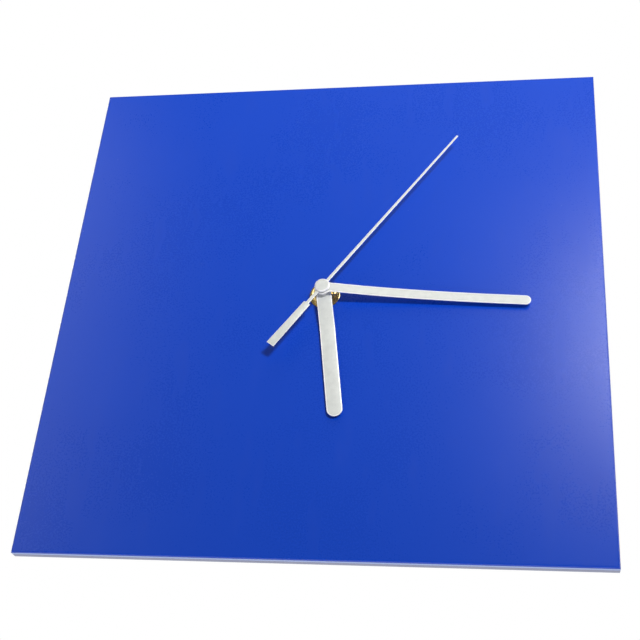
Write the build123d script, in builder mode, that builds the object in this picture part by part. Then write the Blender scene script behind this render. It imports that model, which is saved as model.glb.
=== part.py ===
"""Square wall clock with a battery movement.

The origin is the centre of the hanger hole, on the wall plane.  The clock faces -Y, +X is to
the right of someone reading it and +Z is up.  Depths are measured from the wall towards the
reader, and positions on the face from the hands' axis.
"""

import os
from math import cos, pi, radians, sin

from build123d import *

# board
board_width = 280.0
board_height = 280.0
face_sheet_thickness = 3.0
backing_board_thickness = 3.0
face_edge_radius = 0.25
board_hole_clearance = 0.25

# hands' axis, below the hanger hole
hanger_rise = 34.0

# movement case
case_width = 56.0
case_height = 56.0
case_corner_radius = 3.0
movement_depth = 16.5
cover_thickness = 2.0
front_wall = 1.5
side_wall = 1.2
divider_wall = 1.0
bay_floor = 0.9
rubber_washer_thickness = 0.8
rubber_washer_radius = 12.0

# hanger tab
tab_width = 22.0
tab_top_margin = 3.0
hanger_hole_radius = 4.0
hanger_slot_width = 4.0
hanger_slot_rise = 6.0

# battery cell, size AA
cell_radius = 7.25
cell_length = 50.5
cell_nub_radius = 2.75
cell_nub_height = 1.3
cell_clearance = 0.2
contact_thickness = 0.4
contact_width = 9.0
contact_leaf_width = 4.5
contact_arm_width = 2.0
contact_past_circuit = 0.45
cell_edge_radius = 0.7
cell_nub_edge_radius = 0.3

# fits
running_clearance = 0.05
pivot_radius = 0.35
pivot_depth = 0.8

# bush, washer and nut
bush_radius = 4.0
bush_flange_radius = 5.2
bush_flange_thickness = 0.9
bush_past_nut = 0.5
brass_washer_radius = 7.8
brass_washer_thickness = 0.5
brass_washer_chamfer = 0.125
nut_across_flats = 12.0
nut_thickness = 2.5
nut_chamfer = 0.6

# pipes and arbors, one inside the next
second_arbor_radius = 0.5
minute_pipe_radius = 1.6
hour_pipe_radius = 2.55
knob_stem_radius = 1.0
train_arbor_radius = 0.5

# hands
hand_thickness = 0.4
second_hand_thickness = 0.3
hour_hand_length = 70.0
hour_hand_width = 7.7
hour_hand_angle = 171.4
hour_hand_drop = 2.7
hour_bend_start = 6.0
hour_bend_end = 20.0
hour_bend_radius = 14.0
hour_collet_wall = 0.45
minute_hand_length = 104.0
minute_hand_width = 5.1
minute_hand_angle = 93.3
minute_hand_drop = 5.3
minute_bend_start = 6.0
minute_bend_reach = 45.0
minute_hub_radius = 4.2
minute_hub_fillet = 3.0
minute_collet_wall = 0.8
second_hand_length = 115.0
second_hand_root_width = 1.6
second_hand_tip_width = 1.0
second_hand_angle = 35.3
second_tail_neck_width = 1.7
second_tail_neck_end = 12.2
second_tail_length = 41.0
second_tail_inner_width = 3.8
second_tail_outer_width = 4.4
second_hub_radius = 3.0
cap_radius = 3.8
cap_height = 1.1
cap_chamfer = 0.5
cap_stem_radius = 1.4
cap_stem_length = 0.5
cap_bore_depth = 0.55

# heights of the hands above the front of the board
hand_gap = 0.3
hour_hand_rise = 1.6
pipe_past_hour_hand = 0.5
minute_hand_rise = 2.9
pipe_past_minute_hand = 0.1
second_hand_gap = 0.4

# gear train: teeth, with each pair's module
rotor_pinion_teeth = 8
step_wheel_teeth = 48
rotor_module = 0.20
step_pinion_teeth = 10
second_wheel_teeth = 50
step_module = 0.25
second_pinion_teeth = 8
third_wheel_teeth = 64
second_module = 0.25
third_pinion_teeth = 8
centre_wheel_teeth = 60
cannon_pinion_teeth = 12
minute_wheel_teeth = 36
minute_module = 0.40
minute_pinion_teeth = 10
hour_wheel_teeth = 40

# tooth form, in modules and as shares of half a pitch
wheel_addendum = 0.9
pinion_addendum = 0.7
tooth_dedendum = 1.25
wheel_root_share = 0.60
pinion_root_share = 0.42
pitch_share = 0.42
tip_share = 0.20

# directions of the arbors, anticlockwise from +X seen from the front
step_arbor_angle = -20.0
rotor_from_step_angle = 50.0
third_arbor_angle = 90.0
minute_arbor_angle = 160.0

# thicknesses of the wheels, and the gaps between them from the front wall back
wheel_thickness = 0.7
motion_wheel_thickness = 0.8
pinion_overhang = 0.1
front_gap = 0.35
wheel_gap = 0.5
plate_thickness = 0.8
plate_gap = 0.7
boss_gap = 0.9
third_pinion_clearance = 0.3
boss_radius = 1.4
pillar_inset = 2.8

# motor
magnet_radius = 3.0
magnet_thickness = 2.2
magnet_proud = 0.3
stator_gap = 0.5
stator_web = 0.95
stator_thickness = 1.0
stator_limb = 3.0
coil_x = 21.5
coil_z = 4.5
coil_length = 20.0
coil_tube_radius = 2.2
coil_winding_radius = 3.8
coil_flange_radius = 4.4
coil_flange_thickness = 0.8
core_width = 2.4
core_thickness = 1.0
core_length = 28.0
core_slip = 0.1

# circuit board
circuit_width = 8.9
circuit_height = 29.7
circuit_thickness = 1.0
chip_radius = 2.6
chip_height = 1.1
chip_edge_radius = 0.55
chip_rise = 9.9
crystal_radius = 1.0
crystal_length = 6.0
crystal_edge_radius = 0.3
crystal_rise = 19.8

# setting knob
knob_radius = 6.2
knob_thickness = 2.1
knob_recess_gap = 0.6
knob_setback = 0.4
knob_socket_depth = 1.05
knob_flutes = 20
knob_flute_radius = 0.5
recess_wall = 1.0

# depths from the wall
inside_front = movement_depth - front_wall
board_back = movement_depth + rubber_washer_thickness
board_joint = board_back + backing_board_thickness
board_front = board_joint + face_sheet_thickness
washer_top = board_front + brass_washer_thickness
nut_top = washer_top + nut_thickness
bush_top = nut_top + bush_past_nut
hour_eye_top = bush_top + hour_hand_rise
hour_pipe_top = hour_eye_top + pipe_past_hour_hand
minute_collet_bottom = hour_pipe_top + hand_gap
minute_eye_top = hour_pipe_top + minute_hand_rise
minute_pipe_top = minute_eye_top + pipe_past_minute_hand
second_hand_bottom = minute_pipe_top + second_hand_gap
second_hand_top = second_hand_bottom + second_hand_thickness
cap_top = second_hand_top + cap_height
cap_stem_bottom = second_hand_top - cap_stem_length
arbor_tip = second_hand_top + cap_bore_depth

# levels in the movement, as distances behind the front wall's inner face
hour_wheel_near = front_gap
hour_wheel_far = hour_wheel_near + motion_wheel_thickness
minute_wheel_near = hour_wheel_far + wheel_gap
minute_wheel_far = minute_wheel_near + motion_wheel_thickness
centre_wheel_near = minute_wheel_far + wheel_gap
centre_wheel_far = centre_wheel_near + wheel_thickness
plate_near = centre_wheel_far + plate_gap
plate_far = plate_near + plate_thickness
third_wheel_near = plate_far + wheel_gap
third_wheel_far = third_wheel_near + wheel_thickness
second_wheel_near = third_wheel_far + wheel_gap
second_wheel_far = second_wheel_near + wheel_thickness
step_wheel_near = second_wheel_far + wheel_gap
step_wheel_far = step_wheel_near + wheel_thickness
boss_near = step_wheel_far + boss_gap
arbor_end = boss_near + pivot_depth
stator_near = plate_far + stator_gap
stator_far = stator_near + stator_thickness
magnet_near = stator_near - magnet_proud
magnet_far = magnet_near + magnet_thickness

# case outline on the face, about the hands' axis
inner_x = case_width / 2 - side_wall
inner_top = case_height / 2 - side_wall
inner_bottom = -inner_top
cell_z = inner_bottom + cell_clearance + cell_radius
divider_bottom = cell_z + cell_radius + cell_clearance
divider_top = divider_bottom + divider_wall
cell_depth = movement_depth - bay_floor - cell_clearance - cell_radius
cell_right = inner_x - contact_thickness
cell_left = cell_right - cell_length
tab_top = hanger_rise + hanger_slot_rise + hanger_slot_width / 2 + tab_top_margin

# the circuit board lies behind the train, and the contacts reach past it
circuit_near = arbor_end
circuit_far = circuit_near + circuit_thickness
contact_slot_end = inside_front - circuit_near + contact_past_circuit
circuit_left = -inner_x + contact_thickness
circuit_middle = circuit_left + circuit_width / 2
circuit_bottom = divider_top + contact_thickness


def on_circle(radius, degrees):
    return (radius * cos(radians(degrees)), radius * sin(radians(degrees)))


def centre_distance(teeth, other_teeth, module):
    return (teeth + other_teeth) * module / 2


step_distance = centre_distance(step_pinion_teeth, second_wheel_teeth, step_module)
rotor_distance = centre_distance(rotor_pinion_teeth, step_wheel_teeth, rotor_module)
third_distance = centre_distance(second_pinion_teeth, third_wheel_teeth, second_module)
minute_distance = centre_distance(cannon_pinion_teeth, minute_wheel_teeth, minute_module)

# the pairs that come back to the hands' axis share the outgoing pair's distance
third_module = 2 * third_distance / (third_pinion_teeth + centre_wheel_teeth)
hour_module = 2 * minute_distance / (minute_pinion_teeth + hour_wheel_teeth)

step_at = on_circle(step_distance, step_arbor_angle)
third_at = on_circle(third_distance, third_arbor_angle)
minute_at = on_circle(minute_distance, minute_arbor_angle)
rotor_offset = on_circle(rotor_distance, rotor_from_step_angle)
rotor_at = (step_at[0] + rotor_offset[0], step_at[1] + rotor_offset[1])


def clock_plane(depth, clock_angle=0.0):
    """A plane facing the reader, its Y along a hand that stands at clock_angle."""
    turn = radians(clock_angle)
    return Plane(origin=(0, -depth, -hanger_rise), x_dir=(cos(turn), 0, -sin(turn)), z_dir=(0, -1, 0))


def side_plane(clock_angle):
    """A hand's own side view: X runs out along the hand and Y towards the reader."""
    turn = radians(clock_angle)
    outwards = (sin(turn), 0, cos(turn))
    across = (cos(turn), 0, -sin(turn))
    return Plane(origin=(0, 0, -hanger_rise), x_dir=outwards, z_dir=across)


def behind(level):
    """Depth from the wall of a level inside the movement."""
    return inside_front - level


def rod(start_depth, end_depth, radius, at=(0, 0), mode=Mode.ADD):
    with BuildSketch(clock_plane(start_depth)) as disc:
        with Locations(at):
            Circle(radius)
    extrude(disc.sketch, amount=end_depth - start_depth, mode=mode)


def block(start_depth, end_depth, low, high, mode=Mode.ADD):
    with BuildSketch(clock_plane(start_depth)) as oblong:
        with Locations(((low[0] + high[0]) / 2, (low[1] + high[1]) / 2)):
            Rectangle(high[0] - low[0], high[1] - low[1])
    extrude(oblong.sketch, amount=end_depth - start_depth, mode=mode)


def toothed(near, far, teeth, module, at, tooth_angle, pinion=False):
    """A wheel between two levels, with one tooth centred at tooth_angle."""
    addendum = pinion_addendum if pinion else wheel_addendum
    root_share = pinion_root_share if pinion else wheel_root_share
    pitch_radius = teeth * module / 2
    flank = [
        (pitch_radius - tooth_dedendum * module, root_share),
        (pitch_radius, pitch_share),
        (pitch_radius + addendum * module, tip_share),
    ]
    half_pitch = pi / teeth
    points = []
    for tooth in range(teeth):
        middle = radians(tooth_angle) + 2 * half_pitch * tooth
        for radius, share in flank:
            turn = middle - share * half_pitch
            points.append((at[0] + radius * cos(turn), at[1] + radius * sin(turn)))
        for radius, share in reversed(flank):
            turn = middle + share * half_pitch
            points.append((at[0] + radius * cos(turn), at[1] + radius * sin(turn)))
    with BuildSketch(clock_plane(behind(far))) as teeth_outline:
        with BuildLine():
            Polyline(*points, close=True)
        make_face()
    extrude(teeth_outline.sketch, amount=far - near)


def driven_wheel(wheel_near, wheel_far, teeth, module, at, direction):
    """A driven wheel, with a gap centred in direction, where its driver's tooth comes in."""
    toothed(wheel_near, wheel_far, teeth, module, at, direction + 180.0 / teeth)


def pinion_beside(wheel_near, wheel_far, teeth, module, at, direction):
    """A pinion a little longer than the wheel it drives, with a tooth pointing at it."""
    near = wheel_near - pinion_overhang
    far = wheel_far + pinion_overhang
    toothed(near, far, teeth, module, at, direction, pinion=True)


def keep(part, name):
    part.label = name
    export_step(part, f"parts/{name}.step")


os.makedirs("parts", exist_ok=True)

# ---- board ----

with BuildPart() as face_sheet:
    with BuildSketch(clock_plane(board_joint)):
        Rectangle(board_width, board_height)
        Circle(bush_radius + board_hole_clearance, mode=Mode.SUBTRACT)
    extrude(amount=face_sheet_thickness)
    front = face_sheet.faces().sort_by(Axis.Y)[0]
    fillet(front.outer_wire().edges(), face_edge_radius)
keep(face_sheet.part, "face_sheet")

with BuildPart() as backing_board:
    with BuildSketch(clock_plane(board_back)):
        Rectangle(board_width, board_height)
        Circle(bush_radius + board_hole_clearance, mode=Mode.SUBTRACT)
    extrude(amount=backing_board_thickness)
keep(backing_board.part, "backing_board")

# ---- what clamps the movement to the board ----

with BuildPart() as rubber_washer:
    rod(movement_depth, board_back, rubber_washer_radius)
    rod(movement_depth, board_back, bush_radius, mode=Mode.SUBTRACT)
keep(rubber_washer.part, "rubber_washer")

with BuildPart() as threaded_bush:
    rod(inside_front, inside_front + bush_flange_thickness, bush_flange_radius)
    rod(inside_front, bush_top, bush_radius)
    rod(inside_front, bush_top, hour_pipe_radius + running_clearance, mode=Mode.SUBTRACT)
keep(threaded_bush.part, "threaded_bush")

with BuildPart() as brass_washer:
    rod(board_front, washer_top, brass_washer_radius)
    rod(board_front, washer_top, bush_radius, mode=Mode.SUBTRACT)
    front_circles = brass_washer.edges().filter_by(GeomType.CIRCLE).group_by(Axis.Y)[0]
    rim = front_circles.sort_by(SortBy.RADIUS)[-1]
    chamfer(rim, brass_washer_chamfer)
keep(brass_washer.part, "brass_washer")

with BuildPart() as hex_nut:
    with BuildSketch(clock_plane(washer_top)):
        RegularPolygon(nut_across_flats / 2, 6, major_radius=False)
    extrude(amount=nut_thickness)
    corner_radius = nut_across_flats / 2 / cos(radians(30))
    with BuildSketch(side_plane(0)):
        with BuildLine():
            Polyline(
                (0, washer_top),
                (corner_radius, washer_top),
                (corner_radius, nut_top - nut_chamfer),
                (corner_radius - 2 * nut_chamfer, nut_top),
                (0, nut_top),
                close=True,
            )
        make_face()
    revolve(axis=Axis((0, 0, -hanger_rise), (0, -1, 0)), mode=Mode.INTERSECT)
    rod(washer_top, nut_top, bush_radius, mode=Mode.SUBTRACT)
keep(hex_nut.part, "hex_nut")

# ---- movement case ----

with BuildPart() as front_case:
    with BuildSketch(clock_plane(cover_thickness)):
        RectangleRounded(case_width, case_height, case_corner_radius)
    extrude(amount=movement_depth - cover_thickness)
    block(cover_thickness, inside_front, (-inner_x, divider_top), (inner_x, inner_top), Mode.SUBTRACT)
    bay_front = movement_depth - bay_floor
    block(cover_thickness, bay_front, (-inner_x, inner_bottom), (inner_x, divider_bottom), Mode.SUBTRACT)
    # slots in the divider for the two contacts
    for slot_left in (-inner_x, inner_x - contact_thickness):
        slot_low = (slot_left, divider_bottom)
        slot_high = (slot_left + contact_thickness, divider_top)
        block(cover_thickness, contact_slot_end, slot_low, slot_high, Mode.SUBTRACT)
    # pillars for the middle plate
    pillar_x = inner_x - side_wall - pillar_inset
    pillar_top = inner_top - pillar_inset
    pillar_low = divider_top + pillar_inset
    for at in ((-pillar_x, pillar_low), (-pillar_x, pillar_top), (pillar_x / 2, pillar_top)):
        rod(behind(plate_near), inside_front, boss_radius, at)
    # seat and hole for the bush, and pivot holes for the arbors that reach the front wall
    rod(inside_front, inside_front + bush_flange_thickness, bush_flange_radius, mode=Mode.SUBTRACT)
    rod(inside_front, movement_depth, bush_radius, mode=Mode.SUBTRACT)
    for at in (third_at, minute_at):
        rod(inside_front, inside_front + pivot_depth, pivot_radius + running_clearance, at, Mode.SUBTRACT)
keep(front_case.part, "front_case")

recess_floor = knob_setback + knob_thickness + knob_setback
recess_radius = knob_radius + knob_recess_gap

with BuildPart() as rear_cover:
    with BuildSketch(clock_plane(0)):
        cover_bottom = divider_bottom
        cover_top = case_height / 2
        with Locations((0, (cover_bottom + cover_top) / 2)):
            RectangleRounded(case_width, cover_top - cover_bottom, case_corner_radius)
        with Locations((0, tab_top / 2)):
            RectangleRounded(tab_width, tab_top, case_corner_radius)
    extrude(amount=cover_thickness)
    # cup round the setting knob
    rod(cover_thickness, recess_floor + recess_wall, recess_radius + recess_wall, minute_at)
    rod(0, recess_floor, recess_radius, minute_at, Mode.SUBTRACT)
    stem_hole_radius = knob_stem_radius + running_clearance
    rod(0, recess_floor + recess_wall, stem_hole_radius, minute_at, Mode.SUBTRACT)
    # bosses that hold the rear pivots
    for at in ((0, 0), step_at, third_at, rotor_at):
        rod(cover_thickness, behind(boss_near), boss_radius, at)
        rod(behind(arbor_end), behind(boss_near), pivot_radius + running_clearance, at, Mode.SUBTRACT)
    # stand-offs for the circuit board
    for z in (divider_top + pillar_inset, divider_top + circuit_height - pillar_inset):
        rod(cover_thickness, behind(circuit_far), boss_radius, (circuit_middle, z))
    # keyhole hanger
    with BuildSketch(Plane(origin=(0, 0, 0), x_dir=(1, 0, 0), z_dir=(0, -1, 0))):
        Circle(hanger_hole_radius)
        with Locations((0, hanger_slot_rise / 2)):
            Rectangle(hanger_slot_width, hanger_slot_rise)
        with Locations((0, hanger_slot_rise)):
            Circle(hanger_slot_width / 2)
    extrude(amount=cover_thickness, mode=Mode.SUBTRACT)
keep(rear_cover.part, "rear_cover")

with BuildPart() as middle_plate:
    plate_right = coil_x - coil_flange_radius - running_clearance - boss_gap
    plate_low = divider_top + boss_gap
    plate_high = inner_top - boss_gap
    plate_left = -inner_x + boss_gap
    block(behind(plate_far), behind(plate_near), (plate_left, plate_low), (plate_right, plate_high))
    third_relief = (third_pinion_teeth / 2 + pinion_addendum) * third_module + third_pinion_clearance
    for at, radius in (
        ((0, 0), second_arbor_radius + running_clearance),
        (third_at, third_relief),
        (minute_at, knob_stem_radius + running_clearance),
        (step_at, pivot_radius + running_clearance),
        (rotor_at, pivot_radius + running_clearance),
    ):
        rod(behind(plate_far), behind(plate_near), radius, at, Mode.SUBTRACT)
keep(middle_plate.part, "middle_plate")

# ---- battery and contacts ----

cell_end = (cell_left, -cell_depth, cell_z - hanger_rise)
cell_plane = Plane(origin=cell_end, x_dir=(0, 0, 1), z_dir=(1, 0, 0))

with BuildPart() as battery:
    with BuildSketch(cell_plane):
        Circle(cell_radius)
    extrude(amount=cell_length - cell_nub_height)
    fillet(battery.edges().filter_by(GeomType.CIRCLE), cell_edge_radius)
    with BuildSketch(cell_plane.offset(cell_length - cell_nub_height)):
        Circle(cell_nub_radius)
    extrude(amount=cell_nub_height)
    nub_edge = battery.edges().filter_by(GeomType.CIRCLE).sort_by(Axis.X)[-1]
    fillet(nub_edge, cell_nub_edge_radius)
keep(battery.part, "battery")

contact_low = cell_depth - contact_width / 2
contact_high = cell_depth + contact_width / 2
contact_foot = cell_z - contact_width / 2

with BuildPart() as negative_contact:
    inner_face = -inner_x + contact_thickness
    block(contact_low, contact_high, (-inner_x, contact_foot), (inner_face, divider_bottom))
    # tail through the divider to the circuit board's edge
    tail_end = divider_top + contact_width
    block(contact_low, contact_slot_end, (-inner_x, cell_z), (inner_face, tail_end))
    # bowed leaf that presses on the cell
    bow_low = cell_z - contact_width / 2
    bow_high = cell_z + contact_width / 2
    with BuildSketch(clock_plane(cell_depth - contact_leaf_width / 2)):
        with BuildLine():
            ThreePointArc((-inner_x, bow_low), (cell_left, cell_z), (-inner_x, bow_high))
            Line((-inner_x, bow_high), (-inner_x, bow_high - contact_thickness))
            ThreePointArc(
                (-inner_x, bow_high - contact_thickness),
                (cell_left - contact_thickness, cell_z),
                (-inner_x, bow_low + contact_thickness),
            )
            Line((-inner_x, bow_low + contact_thickness), (-inner_x, bow_low))
        make_face()
    extrude(amount=contact_leaf_width)
keep(negative_contact.part, "negative_contact")

with BuildPart() as positive_contact:
    block(contact_low, contact_high, (cell_right, contact_foot), (inner_x, divider_bottom))
    block(contact_low, contact_slot_end, (cell_right, cell_z), (inner_x, circuit_bottom))
    # arm along the divider to the circuit board
    arm_start = contact_slot_end - contact_arm_width
    block(arm_start, contact_slot_end, (circuit_middle, divider_top), (inner_x, circuit_bottom))
keep(positive_contact.part, "positive_contact")

# ---- motor ----

coil_depth = behind(stator_far + core_thickness / 2)
coil_plane = Plane(origin=(coil_x, -coil_depth, coil_z - hanger_rise), x_dir=(1, 0, 0), z_dir=(0, 0, 1))

with BuildPart() as coil_bobbin:
    with BuildSketch(coil_plane.offset(-coil_length / 2)):
        Circle(coil_tube_radius)
    extrude(amount=coil_length)
    for start in (-coil_length / 2, coil_length / 2 - coil_flange_thickness):
        with BuildSketch(coil_plane.offset(start)):
            Circle(coil_flange_radius)
        extrude(amount=coil_flange_thickness)
    with BuildSketch(coil_plane.offset(-coil_length / 2)):
        Rectangle(core_width + core_slip, core_thickness + core_slip)
    extrude(amount=coil_length, mode=Mode.SUBTRACT)
keep(coil_bobbin.part, "coil_bobbin")

with BuildPart() as coil_winding:
    with BuildSketch(coil_plane.offset(coil_flange_thickness - coil_length / 2)):
        Circle(coil_winding_radius)
        Circle(coil_tube_radius, mode=Mode.SUBTRACT)
    extrude(amount=coil_length - 2 * coil_flange_thickness)
keep(coil_winding.part, "coil_winding")

with BuildPart() as coil_core:
    with BuildSketch(coil_plane.offset(-core_length / 2)):
        Rectangle(core_width, core_thickness)
    extrude(amount=core_length)
keep(coil_core.part, "coil_core")

with BuildPart() as stator_plate:
    stator_top = coil_z + core_length / 2
    stator_bottom = coil_z - core_length / 2
    spine_right = coil_x - coil_flange_radius - stator_gap
    past_third_wheel = third_at[0] + (third_wheel_teeth / 2 + 1) * second_module
    past_step_arbor = step_at[0] + train_arbor_radius
    spine_left = max(past_third_wheel, past_step_arbor) + stator_gap
    limb_end = coil_x + core_width / 2
    start = behind(stator_far)
    end = behind(stator_near)
    block(start, end, (spine_left, stator_bottom), (spine_right, stator_top))
    block(start, end, (spine_left, stator_bottom), (limb_end, stator_bottom + stator_limb))
    block(start, end, (spine_left, stator_top - stator_limb), (limb_end, stator_top))
    rod(start, end, magnet_radius + stator_gap + stator_web, rotor_at)
    rod(start, end, magnet_radius + stator_gap, rotor_at, Mode.SUBTRACT)
keep(stator_plate.part, "stator_plate")

with BuildPart() as rotor_magnet:
    rod(behind(magnet_far), behind(magnet_near), magnet_radius, rotor_at)
    rod(behind(magnet_far), behind(magnet_near), train_arbor_radius, rotor_at, Mode.SUBTRACT)
keep(rotor_magnet.part, "rotor_magnet")

with BuildPart() as rotor_pinion:
    to_step = rotor_from_step_angle + 180
    pinion_beside(step_wheel_near, step_wheel_far, rotor_pinion_teeth, rotor_module, rotor_at, to_step)
    rod(behind(arbor_end), behind(boss_near), pivot_radius, rotor_at)
    rod(behind(boss_near), behind(plate_far), train_arbor_radius, rotor_at)
    rod(behind(plate_far), behind(plate_near), pivot_radius, rotor_at)
keep(rotor_pinion.part, "rotor_pinion")

# ---- circuit ----

with BuildPart() as circuit_board:
    block(
        behind(circuit_far),
        behind(circuit_near),
        (circuit_left, circuit_bottom),
        (circuit_left + circuit_width, circuit_bottom + circuit_height),
    )
keep(circuit_board.part, "circuit_board")

with BuildPart() as chip_cover:
    chip_at = (circuit_middle, circuit_bottom + chip_rise)
    rod(behind(circuit_near), behind(circuit_near - chip_height), chip_radius, chip_at)
    dome_edge = chip_cover.edges().filter_by(GeomType.CIRCLE).sort_by(Axis.Y)[0]
    fillet(dome_edge, chip_edge_radius)
keep(chip_cover.part, "chip_cover")

with BuildPart() as quartz_crystal:
    crystal_depth = behind(circuit_near - crystal_radius)
    crystal_z = circuit_bottom + crystal_rise - hanger_rise
    crystal_foot = (circuit_middle, -crystal_depth, crystal_z)
    with BuildSketch(Plane(origin=crystal_foot, x_dir=(1, 0, 0), z_dir=(0, 0, 1))):
        Circle(crystal_radius)
    extrude(amount=crystal_length)
    can_end = quartz_crystal.edges().filter_by(GeomType.CIRCLE).sort_by(Axis.Z)[-1]
    fillet(can_end, crystal_edge_radius)
keep(quartz_crystal.part, "quartz_crystal")

# ---- train from the rotor to the minute pipe ----

with BuildPart() as step_wheel:
    to_rotor = rotor_from_step_angle
    driven_wheel(step_wheel_near, step_wheel_far, step_wheel_teeth, rotor_module, step_at, to_rotor)
    to_centre = step_arbor_angle + 180
    pinion_beside(
        second_wheel_near, second_wheel_far, step_pinion_teeth, step_module, step_at, to_centre
    )
    rod(behind(arbor_end), behind(boss_near), pivot_radius, step_at)
    rod(behind(boss_near), behind(plate_far), train_arbor_radius, step_at)
    rod(behind(plate_far), behind(plate_near), pivot_radius, step_at)
keep(step_wheel.part, "step_wheel")

with BuildPart() as second_arbor:
    rod(behind(arbor_end), behind(boss_near), pivot_radius)
    rod(behind(boss_near), arbor_tip, second_arbor_radius)
keep(second_arbor.part, "second_arbor")

with BuildPart() as second_wheel:
    to_step = step_arbor_angle
    driven_wheel(second_wheel_near, second_wheel_far, second_wheel_teeth, step_module, (0, 0), to_step)
    to_third = third_arbor_angle
    pinion_beside(
        third_wheel_near, third_wheel_far, second_pinion_teeth, second_module, (0, 0), to_third
    )
    hub_radius = (second_pinion_teeth / 2 - tooth_dedendum) * second_module + pinion_overhang
    rod(behind(second_wheel_near), behind(third_wheel_far), hub_radius)
    hub_end = behind(second_wheel_far + wheel_gap)
    rod(hub_end, behind(plate_far), second_arbor_radius, mode=Mode.SUBTRACT)
keep(second_wheel.part, "second_wheel")

with BuildPart() as third_wheel:
    to_centre = third_arbor_angle + 180
    driven_wheel(
        third_wheel_near, third_wheel_far, third_wheel_teeth, second_module, third_at, to_centre
    )
    pinion_beside(
        centre_wheel_near, centre_wheel_far, third_pinion_teeth, third_module, third_at, to_centre
    )
    rod(behind(arbor_end), behind(boss_near), pivot_radius, third_at)
    rod(behind(boss_near), inside_front, train_arbor_radius, third_at)
    rod(inside_front, inside_front + pivot_depth, pivot_radius, third_at)
keep(third_wheel.part, "third_wheel")

with BuildPart() as centre_wheel:
    to_third = third_arbor_angle
    driven_wheel(
        centre_wheel_near, centre_wheel_far, centre_wheel_teeth, third_module, (0, 0), to_third
    )
    bore_radius = minute_pipe_radius + running_clearance
    rod(behind(centre_wheel_far), behind(centre_wheel_near), bore_radius, mode=Mode.SUBTRACT)
keep(centre_wheel.part, "centre_wheel")

# ---- motion work ----

knob_socket_end = knob_setback + knob_thickness - knob_socket_depth

with BuildPart() as minute_pipe:
    to_minute = minute_arbor_angle
    pinion_beside(
        minute_wheel_near, minute_wheel_far, cannon_pinion_teeth, minute_module, (0, 0), to_minute
    )
    pipe_foot = behind(centre_wheel_far + pinion_overhang)
    rod(pipe_foot, minute_pipe_top, minute_pipe_radius)
    bore_radius = second_arbor_radius + running_clearance
    rod(pipe_foot, minute_pipe_top, bore_radius, mode=Mode.SUBTRACT)
keep(minute_pipe.part, "minute_pipe")

with BuildPart() as minute_wheel:
    to_centre = minute_arbor_angle + 180
    driven_wheel(
        minute_wheel_near, minute_wheel_far, minute_wheel_teeth, minute_module, minute_at, to_centre
    )
    pinion_beside(
        hour_wheel_near, hour_wheel_far, minute_pinion_teeth, hour_module, minute_at, to_centre
    )
    rod(behind(minute_wheel_near), behind(hour_wheel_far), knob_stem_radius, minute_at)
    rod(knob_socket_end, inside_front, knob_stem_radius, minute_at)
    rod(inside_front, inside_front + pivot_depth, pivot_radius, minute_at)
keep(minute_wheel.part, "minute_wheel")

with BuildPart() as setting_knob:
    with BuildSketch(clock_plane(knob_setback)):
        with Locations(minute_at):
            Circle(knob_radius)
            with PolarLocations(knob_radius, knob_flutes):
                Circle(knob_flute_radius, mode=Mode.SUBTRACT)
    extrude(amount=knob_thickness)
    knob_front = knob_setback + knob_thickness
    rod(knob_socket_end, knob_front, knob_stem_radius, minute_at, Mode.SUBTRACT)
keep(setting_knob.part, "setting_knob")

with BuildPart() as hour_wheel:
    to_minute = minute_arbor_angle
    driven_wheel(hour_wheel_near, hour_wheel_far, hour_wheel_teeth, hour_module, (0, 0), to_minute)
    rod(behind(hour_wheel_far), hour_pipe_top, hour_pipe_radius)
    bore_radius = minute_pipe_radius + running_clearance
    rod(behind(hour_wheel_far), hour_pipe_top, bore_radius, mode=Mode.SUBTRACT)
keep(hour_wheel.part, "hour_wheel")

# ---- hands ----


def bend(clock_angle, reach, make_top_line):
    """Cuts a blade down to a strip of sheet that follows the line of its top face."""
    with BuildSketch(side_plane(clock_angle)) as strip:
        with BuildLine():
            top = make_top_line()
            bottom = top.moved(Location((0, -hand_thickness, 0)))
            add(bottom)
            Line(top @ 0, bottom @ 0)
            Line(top @ 1, bottom @ 1)
        make_face()
        # the same strip, level, across the hub and behind the axis
        with BuildLine():
            Polyline(
                (-reach, (top @ 0).Y),
                top @ 0,
                bottom @ 0,
                (-reach, (bottom @ 0).Y),
                close=True,
            )
        make_face()
    extrude(strip.sketch, amount=reach, both=True, mode=Mode.INTERSECT)


hour_collet_radius = hour_pipe_radius + hour_collet_wall

with BuildPart() as hour_hand:
    with BuildSketch(clock_plane(board_front, hour_hand_angle)):
        tip_centre = hour_hand_length - hour_hand_width / 2
        with Locations((0, tip_centre / 2)):
            SlotCenterToCenter(tip_centre, hour_hand_width, rotation=90)
        Circle(hour_collet_radius, mode=Mode.SUBTRACT)
    extrude(amount=hour_eye_top - board_front + hand_gap)

    def hour_top_line():
        return FilletPolyline(
            (0, hour_eye_top),
            (hour_bend_start, hour_eye_top),
            (hour_bend_end, hour_eye_top - hour_hand_drop),
            (hour_hand_length, hour_eye_top - hour_hand_drop),
            radius=hour_bend_radius,
        )

    bend(hour_hand_angle, hour_hand_width, hour_top_line)
keep(hour_hand.part, "hour_hand")

with BuildPart() as hour_collet:
    rod(bush_top + hand_gap, hour_eye_top + hand_gap, hour_collet_radius)
    rod(bush_top + hand_gap, hour_eye_top + hand_gap, hour_pipe_radius, mode=Mode.SUBTRACT)
keep(hour_collet.part, "hour_collet")

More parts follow.
